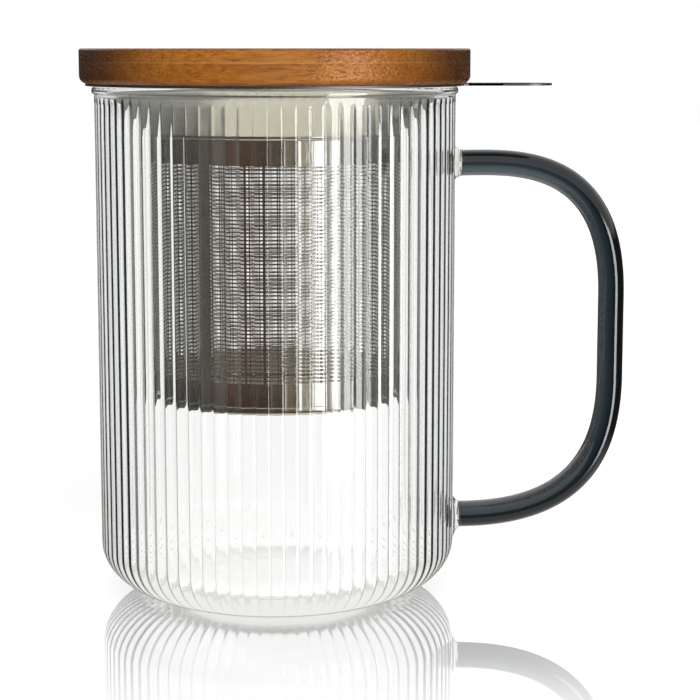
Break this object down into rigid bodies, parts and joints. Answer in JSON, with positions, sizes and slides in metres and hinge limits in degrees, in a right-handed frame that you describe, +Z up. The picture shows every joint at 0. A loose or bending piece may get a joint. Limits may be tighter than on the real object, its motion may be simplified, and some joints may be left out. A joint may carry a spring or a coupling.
{
  "type": "lidded tea mug",
  "caption": "Reeded glass tea mug with a smoked glass handle, a lift-out steel mesh infuser and a loose wooden lid.",
  "frame": {"origin": "centre of the flat base, on the mug's axis", "axes": "+Z up along the mug's axis, +X from the axis towards the handle and the infuser's tab, +Y across the handle"},
  "size_m": [0.129, 0.0918, 0.1298],
  "materials": {
    "clear_glass": "clear borosilicate glass, moulded reeds, fire-polished rim",
    "smoked_glass": "smoked blue-grey borosilicate glass rod, flame polished",
    "stainless_steel": "18/8 stainless steel sheet, polished outside, fine drawing lines",
    "etched_steel": "photo-etched stainless steel mesh sheet with a bright finish",
    "wood": "orange-brown oiled wood, fine grain, one glue line",
    "silicone": "translucent white food-grade silicone"
  },
  "bodies": {
    "mug": {"mug_body": "clear_glass", "upper_handle_pad": "clear_glass", "lower_handle_pad": "clear_glass", "handle": "smoked_glass"},
    "infuser": {"infuser_collar": "stainless_steel", "infuser_sleeve": "etched_steel", "infuser_base": "stainless_steel"},
    "lid": {"lid": "wood", "lid_seal": "silicone"}
  },
  "joints": [
    {"name": "infuser_lift", "type": "slide", "parent": "mug", "child": "infuser", "axis": [0, 0, 1], "range_m": [0, 0.1]},
    {"name": "lid_lift", "type": "slide", "parent": "infuser", "child": "lid", "axis": [0, 0, 1], "range_m": [0, 0.05]}
  ]
}
